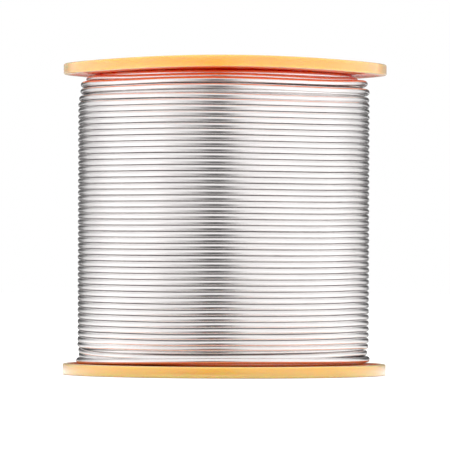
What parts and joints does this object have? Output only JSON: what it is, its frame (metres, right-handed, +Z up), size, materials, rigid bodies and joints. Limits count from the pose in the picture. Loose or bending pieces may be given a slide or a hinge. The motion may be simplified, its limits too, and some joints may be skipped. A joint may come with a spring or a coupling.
{
  "type": "solder wire spool",
  "caption": "Flanged plastic reel wound full with bright solder wire. Its hollow ribbed hub has a through bore that turns on a spindle.",
  "frame": {"origin": "centre of the face that the reel stands on", "axes": "+Z up the reel's axis, from the lower flange to the upper flange; the slot for the wire's free end is at the back, on the +Y side"},
  "size_m": [0.056, 0.056, 0.0538],
  "materials": {
    "reel_plastic": "translucent orange moulded polystyrene, semi-gloss",
    "solder_wire": "bright drawn tin alloy",
    "flux_core": "amber rosin, broken flush at the cut"
  },
  "bodies": {
    "root": {"lower_half_spool": "reel_plastic", "upper_half_spool": "reel_plastic", "solder_wire_inner_layers": "solder_wire", "solder_wire_outer_layer": "solder_wire", "solder_wire_free_end": "solder_wire", "solder_wire_start_end": "solder_wire", "flux_core_at_free_end": "flux_core", "flux_core_at_start_end": "flux_core"}
  },
  "joints": []
}
